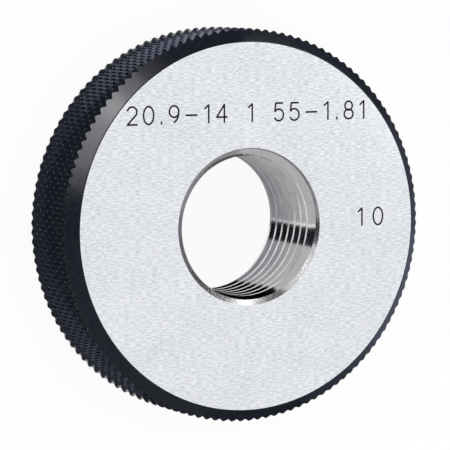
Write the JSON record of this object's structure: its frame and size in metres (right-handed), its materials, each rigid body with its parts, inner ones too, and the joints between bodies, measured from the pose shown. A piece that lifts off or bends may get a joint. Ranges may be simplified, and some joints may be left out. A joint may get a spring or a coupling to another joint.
{
  "type": "thread ring gauge",
  "caption": "Round steel ring with a threaded bore, two ground faces and a blackened diamond-knurled rim, for checking external pipe threads.",
  "frame": {"origin": "centre of the bore on the lower ground face, on which the ring lies", "axes": "+Z along the bore towards the marked face, +X along the marked line of numbers as it is read, +Y up the marks"},
  "size_m": [0.053, 0.053, 0.014],
  "materials": {
    "gauge_steel": "hardened steel, faces ground bright, rim and edge chamfers blackened, bore bright"
  },
  "bodies": {
    "root": {"ring_gauge": "gauge_steel"}
  },
  "joints": []
}
